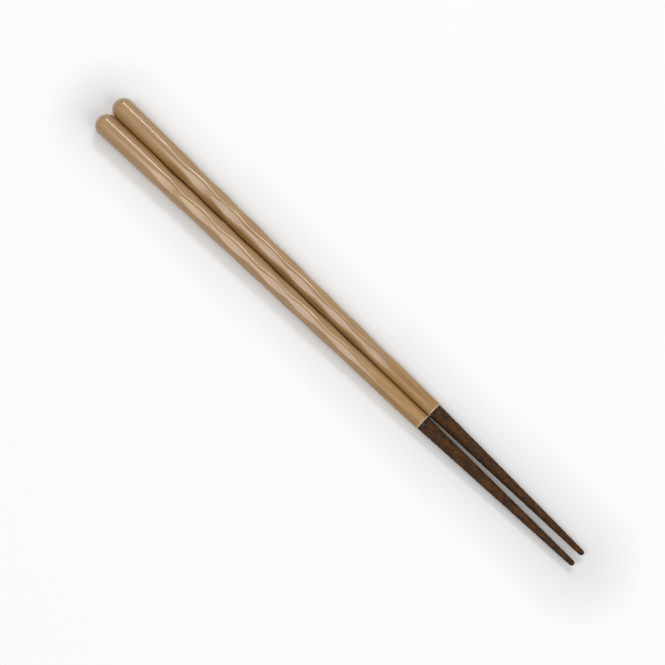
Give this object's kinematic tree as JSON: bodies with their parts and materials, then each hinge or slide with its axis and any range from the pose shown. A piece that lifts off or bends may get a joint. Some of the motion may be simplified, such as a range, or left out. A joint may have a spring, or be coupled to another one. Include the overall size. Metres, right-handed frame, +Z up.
{
  "type": "bamboo chopsticks",
  "caption": "Round tapering bamboo chopsticks with domed butts, grips carved with shallow scoops, and slim tips coated in dark gritty lacquer that keeps food from slipping.",
  "frame": {"origin": "on the table under the middle of the pair, halfway from butts to noses and midway between the sticks", "axes": "+X from the butts to the tips, +Y across from the right stick to the left one, +Z up from the table"},
  "size_m": [0.23, 0.017, 0.0084],
  "materials": {
    "bamboo": "satin",
    "grit_lacquer": "matte"
  },
  "bodies": {
    "root": {"left_stick_bamboo_rod": "bamboo", "left_stick_tip_coat": "grit_lacquer", "right_stick_bamboo_rod": "bamboo", "right_stick_tip_coat": "grit_lacquer"}
  },
  "joints": []
}
